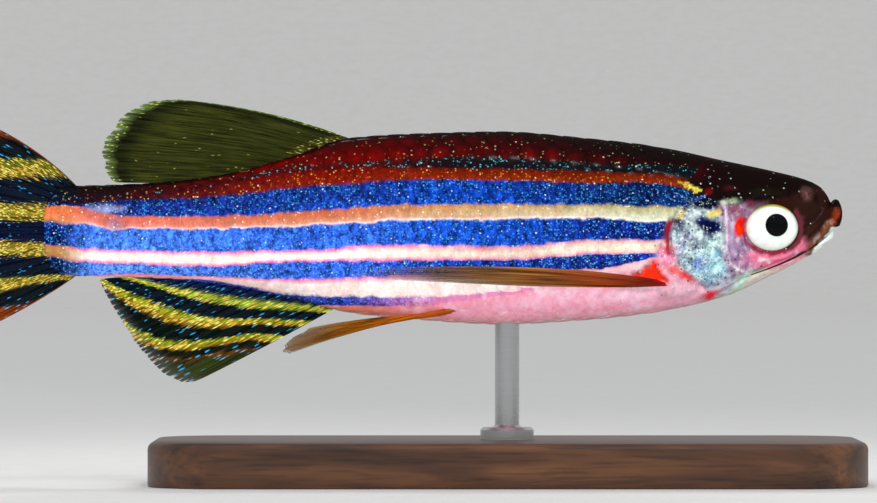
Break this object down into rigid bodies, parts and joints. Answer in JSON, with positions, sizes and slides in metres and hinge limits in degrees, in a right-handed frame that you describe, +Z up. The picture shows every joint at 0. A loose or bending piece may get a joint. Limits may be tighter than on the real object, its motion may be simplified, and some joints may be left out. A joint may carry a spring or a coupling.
{
  "type": "zebra danio",
  "caption": "Small striped freshwater fish with a forked tail and a long anal fin, held level above a flat display base by a rod.",
  "frame": {"origin": "middle of the underside of the display base", "axes": "+X towards the fish's head, +Y to the fish's left, +Z up"},
  "size_m": [0.044, 0.014, 0.0177],
  "materials": {
    "flank_skin": "painted cast resin, blue and cream stripes, satin",
    "head_skin": "painted cast resin, dark brown above, satin",
    "gill_silver": "painted cast resin, pearly silver",
    "eye_white": "polished cast resin, white iris with a black pupil",
    "clear_fin": "thin cast resin, smoky olive, satin",
    "striped_fin": "thin cast resin, dark and yellow stripes, satin",
    "brown_fin": "thin cast resin, orange brown, satin",
    "stand_wood": "dark oiled wood",
    "stand_steel": "satin stainless steel"
  },
  "bodies": {
    "root": {"head": "head_skin", "lower_jaw": "head_skin", "trunk": "flank_skin", "tail": "flank_skin", "tail_stalk": "flank_skin", "gill_cover_left": "gill_silver", "gill_cover_right": "gill_silver", "eye_left": "eye_white", "eye_right": "eye_white", "fin_dorsal": "clear_fin", "fin_anal": "striped_fin", "fin_tail_upper": "striped_fin", "fin_tail_lower": "striped_fin", "fin_pectoral_left": "brown_fin", "fin_pectoral_right": "brown_fin", "fin_pelvic_left": "brown_fin", "fin_pelvic_right": "brown_fin", "stand_base": "stand_wood", "stand_rod": "stand_steel"}
  },
  "joints": []
}
